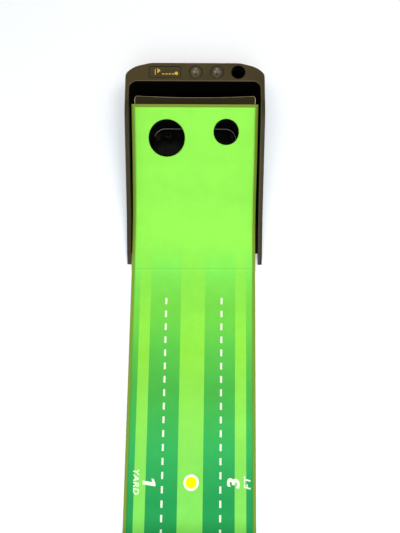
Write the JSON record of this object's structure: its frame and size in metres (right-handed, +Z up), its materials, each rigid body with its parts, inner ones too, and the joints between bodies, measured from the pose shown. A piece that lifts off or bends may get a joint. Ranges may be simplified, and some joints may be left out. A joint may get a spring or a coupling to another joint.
{
  "type": "putting cup",
  "caption": "Putting target base with a sloped mat, cups of different sizes, a lifting ramp flap, a ball well and ball rests.",
  "frame": {"origin": "on the floor, at the centre of the whole object's footprint, with the mat's roll included", "axes": "+Z up, +Y from the mat's roll towards the back of the frame, +X to the right when looking along +Y"},
  "size_m": [0.404, 1.4312, 0.119],
  "materials": {
    "frame_plastic": "fine moulded grain, warm black",
    "base_plastic": "plain moulded black",
    "lip_plastic": "fine moulded grain, warm black",
    "rest_plastic": "polished black",
    "plate_plastic": "fine moulded grain",
    "gold_paint": "gold print",
    "steel": "zinc plated",
    "foot_rubber": "plain",
    "hook_tape": "woven with hooks",
    "mat_pile": "short velvet pile in green stripes",
    "mat_binding": "woven tape, olive"
  },
  "bodies": {
    "frame": {"ball_tray": "base_plastic", "base_plate": "base_plastic", "emblem": "gold_paint", "feet": "foot_rubber", "header": "frame_plastic", "header_screws": "steel", "left_hinge_pin": "steel", "left_rail": "frame_plastic", "mat_roll": "mat_pile", "mat_runner": "mat_pile", "middle_ball_rest": "rest_plastic", "name_plate": "plate_plastic", "rail_screws": "steel", "right_ball_rest": "rest_plastic", "right_hinge_pin": "steel", "right_rail": "frame_plastic", "runner_binding": "mat_binding", "toe_ramp": "base_plastic", "toe_screws": "steel", "tray_screws": "steel"},
    "flap": {"ramp_flap": "lip_plastic", "mat_end": "mat_pile", "end_binding": "mat_binding", "upper_hook_tape": "hook_tape", "lower_hook_tape": "hook_tape"}
  },
  "joints": [
    {"name": "flap_lift", "type": "hinge", "parent": "frame", "child": "flap", "pos_m": [0, 0.27514, 0.0045], "axis": [1, 0, 0], "range_deg": [0, 60]}
  ]
}
